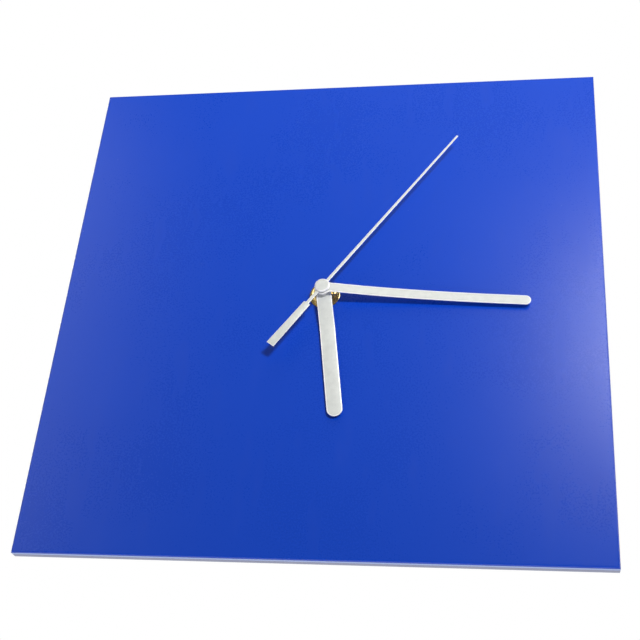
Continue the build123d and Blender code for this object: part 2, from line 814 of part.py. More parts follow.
with BuildPart() as minute_hand:
    with BuildSketch(clock_plane(board_front, minute_hand_angle)) as minute_outline:
        Circle(minute_hub_radius)
        tip_centre = minute_hand_length - minute_hand_width / 2
        with Locations((0, tip_centre / 2)):
            Rectangle(minute_hand_width, tip_centre)
        with Locations((0, tip_centre)):
            Circle(minute_hand_width / 2)
        neck = minute_outline.vertices().filter_by_position(Axis.Y, minute_hand_width / 2, minute_hub_radius)
        fillet(neck, minute_hub_fillet)
        Circle(minute_pipe_radius, mode=Mode.SUBTRACT)
    extrude(amount=minute_eye_top - board_front + hand_gap)

    def minute_top_line():
        return Bezier(
            (minute_bend_start, minute_eye_top),
            (minute_bend_reach, minute_eye_top - minute_hand_drop),
            (minute_hand_length, minute_eye_top - minute_hand_drop),
        )

    bend(minute_hand_angle, minute_hub_radius, minute_top_line)
keep(minute_hand.part, "minute_hand")

with BuildPart() as minute_collet:
    collet_top = minute_eye_top - hand_thickness
    rod(minute_collet_bottom, collet_top, minute_pipe_radius + minute_collet_wall)
    rod(minute_collet_bottom, collet_top, minute_pipe_radius, mode=Mode.SUBTRACT)
keep(minute_collet.part, "minute_collet")

with BuildPart() as second_hand:
    with BuildSketch(clock_plane(second_hand_bottom, second_hand_angle)):
        Circle(second_hub_radius)
        half_root = second_hand_root_width / 2
        half_tip = second_hand_tip_width / 2
        half_inner = second_tail_inner_width / 2
        half_outer = second_tail_outer_width / 2
        with BuildLine():
            Polyline(
                (-half_root, 0),
                (-half_tip, second_hand_length),
                (half_tip, second_hand_length),
                (half_root, 0),
                close=True,
            )
        make_face()
        with BuildLine():
            Polyline(
                (-half_inner, -second_tail_neck_end),
                (half_inner, -second_tail_neck_end),
                (half_outer, -second_tail_length),
                (-half_outer, -second_tail_length),
                close=True,
            )
        make_face()
        with Locations((0, -second_tail_neck_end / 2)):
            Rectangle(second_tail_neck_width, second_tail_neck_end)
        Circle(cap_stem_radius, mode=Mode.SUBTRACT)
    extrude(amount=second_hand_thickness)
keep(second_hand.part, "second_hand")

with BuildPart() as second_hand_cap:
    rod(second_hand_top, cap_top, cap_radius)
    chamfer(second_hand_cap.edges().filter_by(GeomType.CIRCLE).sort_by(Axis.Y)[0], cap_chamfer)
    rod(cap_stem_bottom, second_hand_top, cap_stem_radius)
    rod(cap_stem_bottom, arbor_tip, second_arbor_radius, mode=Mode.SUBTRACT)
keep(second_hand_cap.part, "second_hand_cap")
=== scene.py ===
import bmesh
import bpy
from math import asin, atan2, ceil, cos, degrees, pi, radians, sin, sqrt, tan
from mathutils import Matrix, Vector


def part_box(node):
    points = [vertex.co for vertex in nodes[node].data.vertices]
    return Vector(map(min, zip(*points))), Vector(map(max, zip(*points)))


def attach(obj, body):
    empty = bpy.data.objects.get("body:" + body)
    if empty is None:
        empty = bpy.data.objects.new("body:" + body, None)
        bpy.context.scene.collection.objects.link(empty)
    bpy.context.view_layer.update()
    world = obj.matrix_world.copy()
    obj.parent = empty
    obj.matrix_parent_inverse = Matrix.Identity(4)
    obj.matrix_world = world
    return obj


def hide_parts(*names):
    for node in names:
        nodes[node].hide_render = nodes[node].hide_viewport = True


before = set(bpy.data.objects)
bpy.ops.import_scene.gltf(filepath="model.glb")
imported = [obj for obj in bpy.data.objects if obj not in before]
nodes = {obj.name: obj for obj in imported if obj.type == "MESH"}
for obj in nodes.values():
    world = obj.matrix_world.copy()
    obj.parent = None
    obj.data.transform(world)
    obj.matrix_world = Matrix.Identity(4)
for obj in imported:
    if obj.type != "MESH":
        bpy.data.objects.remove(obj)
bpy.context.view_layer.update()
mm = 0.001
bushRadius = 4.0  # the sheet, the washer and the nut go round it
ringSlices = 96
weldDistance = 0.001 * mm
sharpAngle = 35  # degrees between two faces from which the edge between them stays sharp
softenAngle = 50  # and from which it gets a bevel
cutOvershoot = 0.1  # how far a cutter starts outside what it cuts
onMiddle = 1e-6  # an outline's point nearer to the middle line than this lies on it
sharpestMitre = 0.3  # keeps the mitre of a narrow corner short
# the bright finish is a lighter colour painted on as a highlight
silver, bright = 0, 1  # a hand's two finishes
print("frame loaded,", len(nodes), "nodes")


def middleOf(node):
    low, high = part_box(node)
    return (low + high) / 2


def sizeOf(node):
    low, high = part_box(node)
    return high - low


handAxis = middleOf("second_arbor")
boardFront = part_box("face_sheet")[0].y
dialCentre = Vector((handAxis.x, boardFront, handAxis.z))


# height of a node's front above the front of the board, in millimetres
def topOf(node):
    return (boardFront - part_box(node)[0].y) / mm


def footOf(node):
    return (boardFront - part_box(node)[1].y) / mm


# A socket that takes part in sums, so shader maths reads as ordinary arithmetic
class Wire:
    def __init__(self, work, socket):
        self.work = work
        self.socket = socket

    def maths(self, operation, first, second):
        return self.work.node("ShaderNodeMath", {"operation": operation}, {0: first, 1: second})

    def __add__(self, other):
        return self.maths("ADD", self, other)

    def __radd__(self, other):
        return self.maths("ADD", other, self)

    def __sub__(self, other):
        return self.maths("SUBTRACT", self, other)

    def __rsub__(self, other):
        return self.maths("SUBTRACT", other, self)

    def __mul__(self, other):
        return self.maths("MULTIPLY", self, other)

    def __rmul__(self, other):
        return self.maths("MULTIPLY", other, self)

    def __pow__(self, other):
        return self.maths("POWER", self, other)

    def __lt__(self, other):
        return self.maths("LESS_THAN", self, other)

    def __gt__(self, other):
        return self.maths("GREATER_THAN", self, other)

    def __neg__(self):
        return self.maths("MULTIPLY", self, -1.0)

    # eases from 0 to 1 between two values
    def ease(self, low, high):
        settings = {"interpolation_type": "SMOOTHSTEP"}
        sockets = {"Value": self, "From Min": low, "From Max": high}
        return self.work.node("ShaderNodeMapRange", settings, sockets)


# Adds nodes to one tree and joins them up
class NodeWork:
    def __init__(self, tree):
        self.nodes = tree.nodes
        self.links = tree.links

    def node(self, kind, settings=None, sockets=None, output=0):
        made = self.nodes.new(kind)
        for key, value in (settings or {}).items():
            setattr(made, key, value)
        for key, value in (sockets or {}).items():
            self.plug(made.inputs[key], value)
        return Wire(self, made.outputs[output]) if made.outputs else None

    def plug(self, socket, value):
        if isinstance(value, Wire):
            self.links.new(value.socket, socket)
        elif socket.type == "RGBA" and len(value) == 3:
            socket.default_value = (*value, 1.0)
        else:
            socket.default_value = value


# One material: its nodes, and the surface shader they end in
class Finish(NodeWork):
    def __init__(self, name, **fixed):
        self.material = bpy.data.materials.new(name)
        self.material.use_nodes = True
        super().__init__(self.material.node_tree)
        self.surface = self.nodes["Principled BSDF"]
        for socketName, value in fixed.items():
            self.feed(socketName, value)

    def feed(self, socketName, value):
        self.plug(self.surface.inputs[socketName.replace("_", " ")], value)

    # where a point is on the piece, in metres
    def place(self, stretch=(1, 1, 1), turn=(0, 0, 0)):
        where = self.node("ShaderNodeTexCoord", output="Object")
        return self.node("ShaderNodeMapping", {}, {"Vector": where, "Scale": stretch, "Rotation": turn})

    def along(self, axis):
        return self.node("ShaderNodeSeparateXYZ", {}, {0: self.place()}, output=axis)

    def facing(self, axis):
        way = self.node("ShaderNodeTexCoord", output="Normal")
        return self.node("ShaderNodeSeparateXYZ", {}, {0: way}, output=axis)

    # noise with features about `size` metres across
    def noise(self, size, detail=3.0, roughness=0.5, stretch=(1, 1, 1), turn=(0, 0, 0)):
        where = self.place(stretch, turn)
        sockets = {"Vector": where, "Scale": 1 / size, "Detail": detail, "Roughness": roughness}
        return self.node("ShaderNodeTexNoise", {}, sockets)

    # specks about `size` across, one in each cell, in patches over about a `share` of the surface
    def specks(self, spacing, size, share, cellsPerPatch=2.7):
        sockets = {"Vector": self.place(), "Scale": 1 / spacing}
        distance = self.node("ShaderNodeTexVoronoi", {}, sockets, output="Distance")
        return (distance < size / spacing / 2) * (self.noise(spacing * cellsPerPatch) > 1 - share)

    def blend(self, share, first, second):
        return self.node("ShaderNodeMix", {"data_type": "RGBA"}, {0: share, 6: first, 7: second}, output=2)

    def bump(self, height, depth):
        self.feed("Normal", self.node("ShaderNodeBump", {}, {"Height": height, "Distance": depth}))


boardLook = {
    "blue": (0.002, 0.051, 0.490), "blueWorn": (0.003, 0.057, 0.520), "mottleSize": 60 * mm,
    "roughness": 0.28, "mottleGloss": 0.06,
    "peelSize": 0.9 * mm, "peelDepth": 0.004 * mm, "peelGloss": 0.05,
    "rubSize": 9 * mm, "rubGloss": 0.04,
    "scratchSize": 7 * mm, "scratchFrom": 0.815, "scratchPatch": 20 * mm, "scratchTint": 0.12,
    "dust": (0.32, 0.38, 0.66), "dustTint": 0.5, "dustGloss": 0.1, "dustHeight": 0.8,
    "lint": {"spacing": 13 * mm, "size": 0.45 * mm, "share": 0.48},
    "specks": {"spacing": 4.1 * mm, "size": 0.2 * mm, "share": 0.36},
    "cutEdge": (0.56, 0.66, 0.99), "cutEdgeShade": (0.48, 0.58, 0.95),
    "sawnSize": 0.5 * mm, "sawnRoughness": 0.35, "sawnGloss": 0.2,
}


def satinBlue(look):
    finish = Finish("satinBlue", IOR=1.46)
    mottle = finish.noise(look["mottleSize"], detail=4.0)
    peel = finish.noise(look["peelSize"], detail=2.0)
    rubbed = finish.noise(look["rubSize"], detail=5.0, stretch=(1, 1, 0.25), turn=(0, 0.5, 0))
    rubbed = rubbed.ease(0.55, 0.75)
    hairline = finish.noise(look["scratchSize"], detail=1.0, stretch=(1, 1, 0.03), turn=(0, 0.8, 0))
    scratch = (hairline > look["scratchFrom"]) * finish.noise(look["scratchPatch"]).ease(0.55, 0.65)
    dust = finish.specks(**look["lint"]) + finish.specks(**look["specks"])
    paint = finish.blend(mottle, look["blue"], look["blueWorn"])
    front = finish.blend(dust * look["dustTint"] + scratch * look["scratchTint"], paint, look["dust"])
    sawn = finish.noise(look["sawnSize"], detail=3.0, stretch=(1, 0.12, 1))
    edge = finish.blend(sawn, look["cutEdgeShade"], look["cutEdge"])
    # the coat covers the front and its rounded arris, and the sides show the bare sheet
    coated = (-finish.facing(1)).ease(0.02, 0.15)
    finish.feed("Base_Color", finish.blend(coated, edge, front))
    unevenness = (mottle - 0.5) * look["mottleGloss"] + (peel - 0.5) * look["peelGloss"]
    wear = rubbed * look["rubGloss"] + dust * look["dustGloss"]
    coatGloss = look["roughness"] + unevenness + wear
    edgeGloss = look["sawnRoughness"] + sawn * look["sawnGloss"]
    finish.feed("Roughness", coated * coatGloss + (1 - coated) * edgeGloss)
    finish.bump(peel + dust * look["dustHeight"], look["peelDepth"])
    return finish.material


backingLook = {
    "board": (0.44, 0.46, 0.60), "boardShade": (0.36, 0.38, 0.52), "cloudSize": 40 * mm,
    "grainSize": 0.6 * mm, "grainDepth": 0.02 * mm, "roughness": 0.55, "grainGloss": 0.2,
    "scuff": (0.56, 0.66, 0.99), "scuffSize": 6 * mm, "scuffTint": 0.10, "scuffGloss": 0.1,
}


def paleBacking(look):
    finish = Finish("paleBacking", IOR=1.45)
    grain = finish.noise(look["grainSize"], detail=5.0, roughness=0.65)
    cloud = finish.noise(look["cloudSize"], detail=3.0)
    scuffs = finish.noise(look["scuffSize"], detail=6.0, stretch=(1, 1, 0.15), turn=(0, 1.1, 0))
    scuffs = scuffs.ease(0.60, 0.72)
    board = finish.blend((grain * 0.5 + cloud * 0.5).ease(0.3, 0.7), look["boardShade"], look["board"])
    finish.feed("Base_Color", finish.blend(scuffs * look["scuffTint"], board, look["scuff"]))
    finish.feed("Roughness", look["roughness"] + grain * look["grainGloss"] - scuffs * look["scuffGloss"])
    finish.bump(grain, look["grainDepth"])
    return finish.material


handLook = {
    "grainSize": 0.25 * mm, "grainDepth": 0.008 * mm, "cloudSize": 3 * mm, "metallic": 0.18,
    "metallicSpread": 0.2,
    "face": {
        "colour": (0.76, 0.78, 0.745), "shade": (0.66, 0.68, 0.65), "metallicShare": 0.9,
        "roughness": 0.41, "grainGloss": 0.14,
    },
    # the edge is painted lighter than the face, a painted highlight where the edges catch the light
    "edge": {
        "colour": (0.97, 0.97, 0.97), "shade": (0.90, 0.90, 0.90), "metallicShare": 0.5,
        "roughness": 0.26, "grainGloss": 0.10,
    },
}


# the hands' painted metal on their faces, and on their edges a lighter colour that is a painted highlight
def handSilver(name, look, side):
    finish = Finish(name)
    grain = finish.noise(look["grainSize"], detail=3.0, roughness=0.6)
    cloud = finish.noise(look["cloudSize"], detail=3.0)
    tone = (grain * 0.5 + cloud * 0.5).ease(0.32, 0.68)
    finish.feed("Base_Color", finish.blend(tone, side["shade"], side["colour"]))
    finish.feed("Metallic", look["metallic"] * (side["metallicShare"] + look["metallicSpread"] * tone))
    finish.feed("Roughness", side["roughness"] + side["grainGloss"] * grain)
    finish.bump(grain, look["grainDepth"])
    return finish.material


brassLook = {
    "bright": (0.86, 0.68, 0.30), "dull": (0.46, 0.32, 0.12), "roughness": 0.16,
    "grooveSize": 0.12 * mm, "grooveDepth": 0.01 * mm, "grooveGloss": 0.14,
    "tarnishSize": 1.6 * mm, "tarnishTint": 0.7, "tarnishGloss": 0.14,
}


# metal turned on a lathe, with fine grooves round an axis along Y
def turnedMetal(name, look, centre):
    finish = Finish(name, Metallic=1.0)
    x = finish.along(0) - centre.x
    z = finish.along(2) - centre.z
    settings = {"noise_dimensions": "1D"}
    sockets = {"W": (x * x + z * z) ** 0.5, "Scale": 1 / look["grooveSize"], "Detail": 2.0}
    grooves = finish.node("ShaderNodeTexNoise", settings, sockets)
    tarnish = finish.noise(look["tarnishSize"], detail=4.0).ease(0.42, 0.72)
    finish.feed("Base_Color", finish.blend(tarnish * look["tarnishTint"], look["bright"], look["dull"]))
    unevenness = grooves * look["grooveGloss"] + tarnish * look["tarnishGloss"]
    finish.feed("Roughness", look["roughness"] + unevenness)
    finish.bump(grooves, look["grooveDepth"])
    return finish.material


mouldedLook = {
    "grainSize": 0.35 * mm, "grainDepth": 0.012 * mm, "grainGloss": 0.16, "flowSize": 12 * mm,
    "flowGloss": 0.06, "scuffSize": 3 * mm, "scuffGloss": 0.08,
}


# moulded or cast stuff: fine grain, slow flow marks and a few shiny scuffs
def moulded(name, colour, shade, roughness, look=mouldedLook, **fixed):
    finish = Finish(name, **fixed)
    grain = finish.noise(look["grainSize"], detail=3.0, roughness=0.6)
    flow = finish.noise(look["flowSize"], detail=2.0)
    scuff = finish.noise(look["scuffSize"], detail=6.0, stretch=(0.2, 1, 1), turn=(0, 0.6, 0))
    scuff = scuff.ease(0.62, 0.74)
    tone = (grain * 0.4 + flow * 0.6).ease(0.3, 0.7)
    finish.feed("Base_Color", finish.blend(tone, shade, colour))
    unevenness = (grain - 0.5) * look["grainGloss"] + (flow - 0.5) * look["flowGloss"]
    finish.feed("Roughness", roughness + unevenness - scuff * look["scuffGloss"])
    finish.bump(grain, look["grainDepth"])
    return finish.material


drawnLook = {
    "lineSize": 0.2 * mm, "lineDepth": 0.006 * mm, "lineGloss": 0.15, "cloudSize": 4 * mm, "cloudGloss": 0.1,
}


# rolled or drawn metal, its lines along the direction that is stretched
def drawnMetal(name, colour, shade, roughness, stretch, look=drawnLook):
    finish = Finish(name, Metallic=1.0)
    lines = finish.noise(look["lineSize"], detail=3.0, stretch=stretch)
    cloud = finish.noise(look["cloudSize"], detail=3.0)
    finish.feed("Base_Color", finish.blend((lines * 0.5 + cloud * 0.5).ease(0.3, 0.7), shade, colour))
    finish.feed("Roughness", roughness + lines * look["lineGloss"] + (cloud - 0.5) * look["cloudGloss"])
    finish.bump(lines, look["lineDepth"])
    return finish.material


windingLook = {
    # the gap colour, darker than the wire, is painted shade in the creases between the turns
    "wire": (0.74, 0.30, 0.13), "gap": (0.26, 0.09, 0.04), "wireDiameter": 0.22 * mm,
    "wander": 0.4 * mm, "wanderSize": 6 * mm, "roughness": 0.5, "crownGloss": 0.25,
}


# turns of enamelled wire round an upright bobbin, with painted shade darkening the creases between them
def woundWire(look):
    finish = Finish("enamelledWire", Metallic=0.9, Coat_Weight=0.3)
    wander = finish.noise(look["wanderSize"], detail=1.0) * look["wander"]
    turns = (finish.along(2) + wander) * (2 * pi / look["wireDiameter"])
    crown = finish.node("ShaderNodeMath", {"operation": "SINE"}, {0: turns}).ease(-1.0, 0.4)
    finish.feed("Base_Color", finish.blend(crown, look["gap"], look["wire"]))
    finish.feed("Roughness", look["roughness"] - crown * look["crownGloss"])
    finish.bump(crown, look["wireDiameter"] / 3)
    return finish.material


sleeveLook = {
    "body": (0.035, 0.10, 0.075), "bodyShade": (0.025, 0.075, 0.055), "band": (0.60, 0.61, 0.60),
    "bandFrom": 0.70, "bandTo": 0.93, "pinstripe": 0.012, "bandMetallic": 0.6,
    "roughness": 0.22, "cloudSize": 5 * mm, "cloudDepth": 0.02 * mm, "cloudGloss": 0.08,
    "rubSize": 2 * mm, "rubGloss": 0.15,
}


# printed sleeve: a green body and a silver band towards the nub, with a pinstripe beside it
def printedSleeve(look):
    finish = Finish("printedSleeve", IOR=1.5)
    low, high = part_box("battery")
    share = (finish.along(0) - low.x) * (1 / (high.x - low.x))
    inBand = (share > look["bandFrom"]) * (share < look["bandTo"])
    stripeAt = look["bandFrom"] - 3 * look["pinstripe"]
    inStripe = (share > stripeAt) * (share < stripeAt + look["pinstripe"])
    cloud = finish.noise(look["cloudSize"], detail=4.0)
    body = finish.blend(cloud, look["bodyShade"], look["body"])
    rubbed = finish.noise(look["rubSize"], detail=5.0, stretch=(0.3, 1, 1)).ease(0.60, 0.75)
    finish.feed("Base_Color", finish.blend(inBand + inStripe, body, look["band"]))
    finish.feed("Metallic", (inBand + inStripe) * look["bandMetallic"])
    finish.feed("Roughness", look["roughness"] + cloud * look["cloudGloss"] + rubbed * look["rubGloss"])
    finish.bump(cloud, look["cloudDepth"])
    return finish.material


# after each name come the colour, its shade and the roughness
materials = {
    "satinBlue": satinBlue(boardLook),
    "paleBacking": paleBacking(backingLook),
    "handFace": handSilver("handFace", handLook, handLook["face"]),
    # the lighter edge colour is a painted highlight
    "handEdgePaintedHighlight": handSilver("handEdgePaintedHighlight", handLook, handLook["edge"]),
    "brass": turnedMetal("turnedBrass", brassLook, handAxis),
    "rubber": moulded("blackRubber", (0.022, 0.022, 0.023), (0.012, 0.012, 0.012), 0.7),
    "case": moulded("caseBlack", (0.040, 0.040, 0.042), (0.028, 0.028, 0.029), 0.38),
    "knob": moulded("knobBlack", (0.020, 0.020, 0.021), (0.013, 0.013, 0.014), 0.36),
    "acetal": moulded("whiteAcetal", (0.80, 0.80, 0.76), (0.72, 0.72, 0.68), 0.35),
    "nickel": drawnMetal("nickelStrip", (0.72, 0.70, 0.66), (0.58, 0.56, 0.52), 0.22, (1, 1, 0.1)),
    "steel": drawnMetal("softIron", (0.44, 0.44, 0.46), (0.33, 0.33, 0.35), 0.35, (0.1, 1, 1)),
    "arbor": drawnMetal("arborSteel", (0.62, 0.62, 0.64), (0.52, 0.52, 0.55), 0.15, (1, 0.1, 1)),
    "wire": woundWire(windingLook),
    "magnet": moulded("sinteredMagnet", (0.09, 0.09, 0.10), (0.05, 0.05, 0.055), 0.5, Metallic=0.6),
    "laminate": moulded("circuitLaminate", (0.40, 0.26, 0.10), (0.30, 0.19, 0.07), 0.45),
    "resin": moulded("pottingResin", (0.012, 0.012, 0.012), (0.006, 0.006, 0.006), 0.25),
    "crystalCan": drawnMetal("crystalCan", (0.75, 0.75, 0.76), (0.62, 0.62, 0.64), 0.18, (1, 1, 0.1)),
    "sleeve": printedSleeve(sleeveLook),
}

nodeFinish = {
    "face_sheet": "satinBlue", "backing_board": "paleBacking", "rubber_washer": "rubber",
    "threaded_bush": "brass", "brass_washer": "brass", "hex_nut": "brass", "front_case": "case",
    "rear_cover": "case", "setting_knob": "knob", "middle_plate": "acetal", "battery": "sleeve",
    "negative_contact": "nickel", "positive_contact": "nickel", "coil_bobbin": "acetal",
    "coil_winding": "wire", "coil_core": "steel", "stator_plate": "steel", "circuit_board": "laminate",
    "chip_cover": "resin", "quartz_crystal": "crystalCan", "rotor_magnet": "magnet",
    "rotor_pinion": "acetal", "step_wheel": "acetal", "second_arbor": "arbor", "second_wheel": "acetal",
    "second_hand": "handFace", "second_hand_cap": "handFace", "third_wheel": "acetal",
    # the collets take the hands' lighter edge colour, a painted highlight
    "centre_wheel": "acetal", "minute_pipe": "acetal", "minute_collet": "handEdgePaintedHighlight",
    "minute_hand": "handFace", "minute_wheel": "acetal", "hour_wheel": "acetal",
    "hour_collet": "handEdgePaintedHighlight", "hour_hand": "handFace",
}
for nodeName, finishName in nodeFinish.items():
    slots = nodes[nodeName].data.materials
    slots.clear()
    slots.append(materials[finishName])
print("finishes made,", len(materials))


def linkPiece(name, mesh):
    piece = bpy.data.objects.new(name, mesh)
    bpy.context.scene.collection.objects.link(piece)
    return piece


# turns every face outwards and keeps the sharp edges sharp
def tidyMesh(mesh, weld=False):
    body = bmesh.new()
    body.from_mesh(mesh)
    if weld:
        bmesh.ops.remove_doubles(body, verts=body.verts, dist=weldDistance)
    bmesh.ops.recalc_face_normals(body, faces=body.faces)
    body.to_mesh(mesh)
    body.free()
    mesh.shade_smooth()
    mesh.set_sharp_from_angle(angle=radians(sharpAngle))


def newPiece(name, points, faces, finishes, faceFinish=None):
    mesh = bpy.data.meshes.new(name)
    mesh.from_pydata(points, [], faces)
    for finish in finishes:
        mesh.materials.append(materials[finish])
    if faceFinish:
        mesh.polygons.foreach_set("material_index", faceFinish)
    tidyMesh(mesh)
    return linkPiece(name, mesh)


# A skin over a row of rings with the same number of points. `ends` closes the first and last ring
# with flat faces, or joins them to each other. `bands` gives each ring-to-ring band its finish.
def skin(name, rings, finishes, ends="flat", bands=None):
    count = len(rings[0])
    points = [point for ring in rings for point in ring]
    faces = []
    faceFinish = []
    last = len(rings) if ends == "joined" else len(rings) - 1
    bands = bands or [0] * last
    for k in range(last):
        base, other = k * count, (k + 1) % len(rings) * count
        for i in range(count):
            j = (i + 1) % count
            faces.append((base + i, base + j, other + j, other + i))
            faceFinish.append(bands[k])
    if ends == "flat":
        faces += [tuple(range(count)), tuple(reversed(range(len(points) - count, len(points))))]
        faceFinish += [bands[0], bands[-1]]
    return newPiece(name, points, faces, finishes, faceFinish)


# a place on the front, across and up from the hands' axis and above the board, in millimetres
def faceOn(across, up, height):
    return Vector((handAxis.x + across * mm, boardFront - height * mm, handAxis.z + up * mm))


def circle(radius, height, place, slices=ringSlices, radiusAt=None, heightAt=None):
    ring = []
    for i in range(slices):
        turn = 2 * pi * i / slices
        r = radiusAt(turn) if radiusAt else radius
        h = heightAt(turn) if heightAt else height
        ring.append(place(r * cos(turn), r * sin(turn), h))
    return ring


# cuts one piece with others, or joins them to it, and keeps the result as a plain mesh
def carve(piece, cutters, operation="DIFFERENCE"):
    for cutter in cutters:
        change = piece.modifiers.new("carve", "BOOLEAN")
        change.operation = operation
        change.solver = "EXACT"
        change.object = cutter
    settle(piece)
    for cutter in cutters:
        bpy.data.objects.remove(cutter)


def settle(piece):
    shapes = bpy.context.evaluated_depsgraph_get()
    mesh = bpy.data.meshes.new_from_object(piece.evaluated_get(shapes))
    piece.modifiers.clear()
    piece.data = mesh
    tidyMesh(mesh)


# a piece of its own with the shape of a CAD node
def recast(name, node):
    mesh = nodes[node].data.copy()
    mesh.name = name
    tidyMesh(mesh, weld=True)
    return linkPiece(name, mesh)


# puts a piece on its body in place of the CAD node it details
def fit(piece, body, slot, *replaced):
    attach(piece, body)
    if replaced:
        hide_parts(*replaced)


# a point on a hand, from its place across and along the blade and its height above the board
def onHand(clockAngle, across, along, height):
    turn = radians(clockAngle)
    return faceOn(across * cos(turn) + along * sin(turn), along * cos(turn) - across * sin(turn), height)


def polar(centre, radius, turn):
    return (centre[0] + radius * cos(radians(turn)), centre[1] + radius * sin(radians(turn)))


def arc(centre, radius, start, end, steps):
    return [polar(centre, radius, start + (end - start) * i / steps) for i in range(steps + 1)]


# points between two ends of a straight edge along a blade
def straight(x, start, end, spacing):
    steps = ceil((end - start) / spacing)
    return [(x, start + (end - start) * i / steps) for i in range(1, steps)]


# moves a closed outline inwards, mitred at its corners
def inset(outline, width):
    moved = []
    for i, point in enumerate(outline):
        here = Vector(point)
        before = (here - Vector(outline[i - 1])).normalized()
        after = (Vector(outline[(i + 1) % len(outline)]) - here).normalized()
        inwards = Vector((-before.y, before.x))
        middle = (inwards + Vector((-after.y, after.x))).normalized()
        moved.append(here + middle * width / max(sharpestMitre, middle.dot(inwards)))
    return moved


# the cutter that opens the eye in all three hands
eyeCut = {"slices": 64, "reach": 1.0}


# A hand's blade from the right half of its outline, root first: a face that follows heightAt, a bevel and
# side all round in a lighter colour that is a painted highlight, and an eye for the pipe
def blade(name, shape, right, heightAt):
    pointed = abs(right[0][0]) < onMiddle
    left = [(-x, y) for x, y in reversed(right) if x > onMiddle]
    outline = right + left
    count = len(outline)
    bevelled = inset(outline, shape["bevelWidth"])
    levels = ((outline, shape["thickness"]), (outline, shape["bevelDepth"]), (bevelled, 0.0))
    points = []
    for places, drop in levels:
        points += [onHand(shape["angle"], x, y, heightAt(y) - drop) for x, y in places]
    faces = []
    faceFinish = []
    for i in range(count):
        j = (i + 1) % count
        for low in (0, count):
            faces.append((low + i, low + j, low + count + j, low + count + i))
            faceFinish.append(bright)
    # back and face are strips from side to side, so that they bend with the blade
    for low in (0, 2 * count):
        for i in range(len(right) - 1):
            mirrored = [low + (count - k if pointed else count - 1 - k) % count for k in (i + 1, i)]
            faces.append(tuple(dict.fromkeys([low + i, low + i + 1, *mirrored])))
            faceFinish.append(silver)
    piece = newPiece(name, points, faces, ("handFace", "handEdgePaintedHighlight"), faceFinish)
    eyeLevels = (heightAt(0) - eyeCut["reach"], heightAt(0) + eyeCut["reach"])
    eye = [circle(shape["eyeRadius"], level, faceOn, eyeCut["slices"]) for level in eyeLevels]
    carve(piece, [skin("eye", eye, ("handFace", "handEdgePaintedHighlight"))])
    return piece


sheetShape = {"arris": 0.9, "arrisSteps": 8, "holeClearance": 0.25, "backEdge": 0.2, "rim": 0.4}


# the blue sheet: square, with a rounded front arris all round and a hole for the bush
def faceSheet(shape):
    half = sizeOf("face_sheet").x / mm / 2
    foot, top = footOf("face_sheet"), topOf("face_sheet")
    hole = bushRadius + shape["holeClearance"]
    arris, backEdge = shape["arris"], shape["backEdge"]
    profile = [(half - backEdge, foot), (half, foot + backEdge)]
    profile += arc((half - arris, top - arris), arris, 0, 90, shape["arrisSteps"])
    profile.append((half - arris - shape["rim"], top))

    def squareRing(reach, height):
        return circle(0, height, faceOn, radiusAt=lambda turn: reach / max(abs(cos(turn)), abs(sin(turn))))

    squares = [squareRing(*point) for point in profile]
    rings = [circle(hole, foot, faceOn), *squares, circle(hole, top, faceOn)]
    return skin("faceSheetBody", rings, ("satinBlue",), ends="joined")


fit(faceSheet(sheetShape), "clock_body", "blue_acrylic", "face_sheet")
print("blue sheet made")


hourShape = {
    "angle": 171.4, "length": 70.0, "width": 7.7, "thickness": 0.4, "spacing": 1.5, "eyeRadius": 3.0,
    "bevelWidth": 0.5, "bevelDepth": 0.16,
    "drop": 2.7, "bendStart": 6.0, "bendEnd": 20.0, "bendRadius": 14.0, "rootSteps": 16, "tipSteps": 20,
}


def hourHand(shape):
    radius = shape["width"] / 2
    tip = shape["length"] - radius
    right = [(0.0, -radius)] + arc((0, 0), radius, -90, 0, shape["rootSteps"])[1:]
    right += straight(radius, 0, tip, shape["spacing"])
    right += arc((0, tip), radius, 0, 90, shape["tipSteps"])[:-1] + [(0.0, shape["length"])]
    top = topOf("hour_hand")
    slope = shape["drop"] / (shape["bendEnd"] - shape["bendStart"])
    easing = shape["bendRadius"] * tan(atan2(slope, 1) / 2)

    def eased(distance):
        if abs(distance) >= easing:
            return max(distance, 0.0)
        return (distance + easing) ** 2 / (4 * easing)

    def heightAt(along):
        return top - slope * (eased(along - shape["bendStart"]) - eased(along - shape["bendEnd"]))

    return blade("hourHandBlade", shape, right, heightAt)


minuteShape = {
    "angle": 93.3, "length": 104.0, "width": 5.1, "thickness": 0.4, "spacing": 2.0, "eyeRadius": 1.6,
    "bevelWidth": 0.5, "bevelDepth": 0.16,
    "hubRadius": 4.2, "hubFillet": 3.0, "drop": 5.3, "bendStart": 6.0, "bendReach": 45.0,
    "hubSteps": 24, "filletSteps": 8, "tipSteps": 18,
}


def minuteHand(shape):
    radius = shape["width"] / 2
    tip = shape["length"] - radius
    hub = shape["hubRadius"]
    fillet = shape["hubFillet"]
    filletUp = sqrt((hub + fillet) ** 2 - (radius + fillet) ** 2)
    meets = degrees(atan2(filletUp, radius + fillet))
    right = [(0.0, -hub)] + arc((0, 0), hub, -90, meets, shape["hubSteps"])[1:]
    right += arc((radius + fillet, filletUp), fillet, 180 + meets, 180, shape["filletSteps"])[1:]
    right += straight(radius, filletUp, tip, shape["spacing"])
    right += arc((0, tip), radius, 0, 90, shape["tipSteps"])[:-1] + [(0.0, shape["length"])]
    top = topOf("minute_hand")
    start, reach = shape["bendStart"], shape["bendReach"]

    # a parabola that leaves the hub level and comes down to the tip's height
    def heightAt(along):
        if along <= start:
            return top
        square = start - 2 * reach + shape["length"]
        linear = 2 * (reach - start)
        share = (sqrt(linear * linear - 4 * square * (start - along)) - linear) / (2 * square)
        return top - shape["drop"] * (1 - (1 - share) ** 2)

    return blade("minuteHandBlade", shape, right, heightAt)


